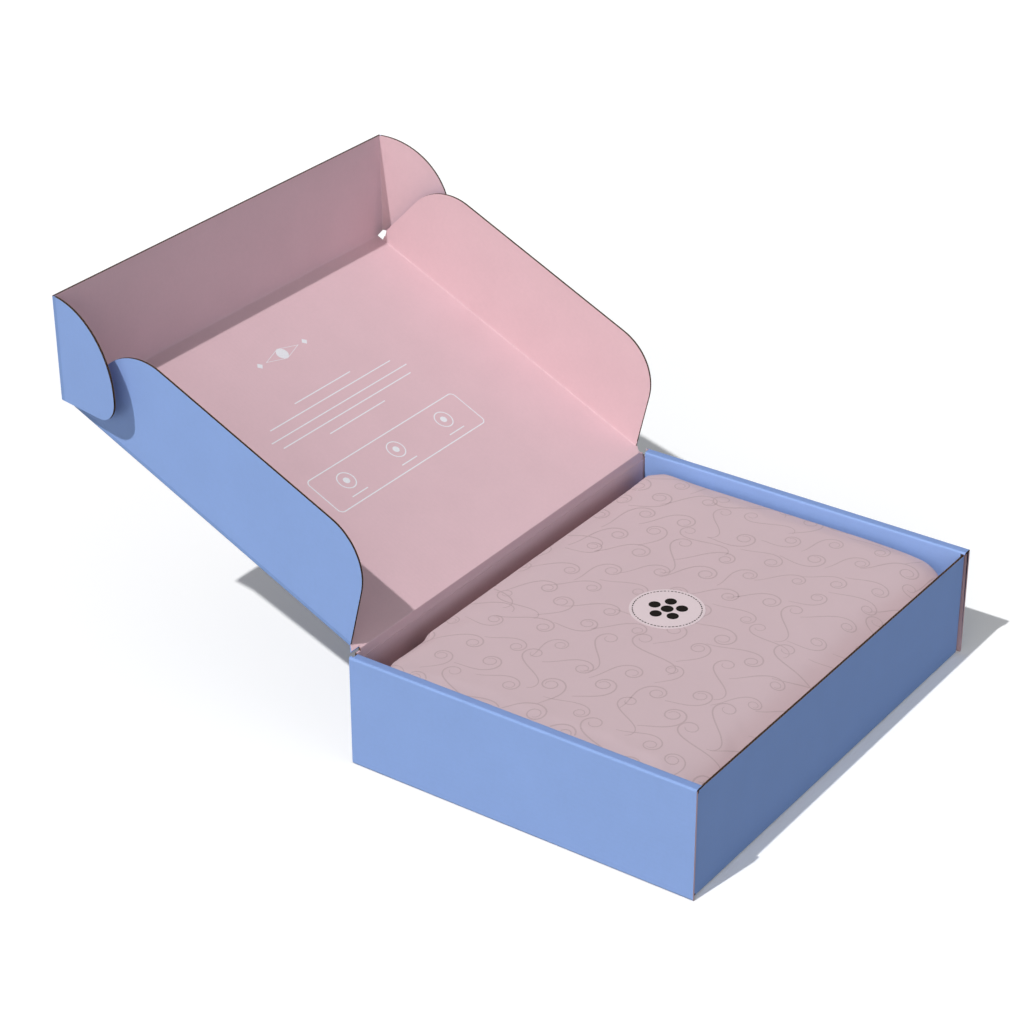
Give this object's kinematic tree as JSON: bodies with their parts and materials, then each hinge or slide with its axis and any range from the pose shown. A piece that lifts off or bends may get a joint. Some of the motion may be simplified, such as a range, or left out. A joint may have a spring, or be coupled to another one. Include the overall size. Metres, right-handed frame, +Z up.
{
  "type": "corrugated mailer box",
  "caption": "Roll-end mailer box of corrugated board with a hinged lid, side flaps, front flap and tuck ears, standing open around a tissue-wrapped parcel",
  "frame": {"origin": "centre of the tray's underside", "axes": "+Z up, +Y from the front wall to the lid's hinge, +X to the right seen from the front"},
  "size_m": [0.345, 0.4674, 0.2538],
  "materials": {
    "blue_board": "matte blue print on the outside of E-flute board, kraft cut edges",
    "lid_board": "matte pink print inside, blue outside, thin white line print",
    "flap_board": "matte pink print inside, blue outside, kraft cut edges",
    "tissue": "matte pale pink tissue around folded cloth",
    "sticker_paper": "smooth pale paper with a plain dark mark"
  },
  "bodies": {
    "tray": {"tray": "blue_board", "wrapped_parcel": "tissue", "round_sticker": "sticker_paper"},
    "lid": {"lid_panel": "lid_board"},
    "side_flap_left": {"side_flap_left": "flap_board"},
    "side_flap_right": {"side_flap_right": "flap_board"},
    "front_flap": {"front_flap": "flap_board"},
    "ear_left": {"ear_left": "flap_board"},
    "ear_right": {"ear_right": "flap_board"}
  },
  "joints": [
    {"name": "lid_hinge", "type": "hinge", "parent": "tray", "child": "lid", "pos_m": [0, 0.122, 0.07705], "axis": [1, 0, 0], "range_deg": [-38, 155]},
    {"name": "front_flap_hinge", "type": "hinge", "parent": "lid", "child": "front_flap", "pos_m": [0, 0.34405, 0.18059], "axis": [1, 0, 0], "range_deg": [-65, 16.5]},
    {"name": "side_flap_left_hinge", "type": "hinge", "parent": "lid", "child": "side_flap_left", "pos_m": [-0.1566, 0.12168, 0.07773], "axis": [0, 0.9063, 0.4226], "range_deg": [-2, 88]},
    {"name": "side_flap_right_hinge", "type": "hinge", "parent": "lid", "child": "side_flap_right", "pos_m": [0.1566, 0.12168, 0.07773], "axis": [0, -0.9063, -0.4226], "range_deg": [-2, 88]},
    {"name": "ear_left_hinge", "type": "hinge", "parent": "front_flap", "child": "ear_left", "pos_m": [-0.1625, 0.34405, 0.18059], "axis": [0, -0.0087, -1], "range_deg": [-10, 80]},
    {"name": "ear_right_hinge", "type": "hinge", "parent": "front_flap", "child": "ear_right", "pos_m": [0.1625, 0.34405, 0.18059], "axis": [0, 0.0087, 1], "range_deg": [-10, 80]}
  ],
  "couplings": [
    {"joint": "front_flap_hinge", "follows": "lid_hinge", "ratio": -0.41613}
  ]
}
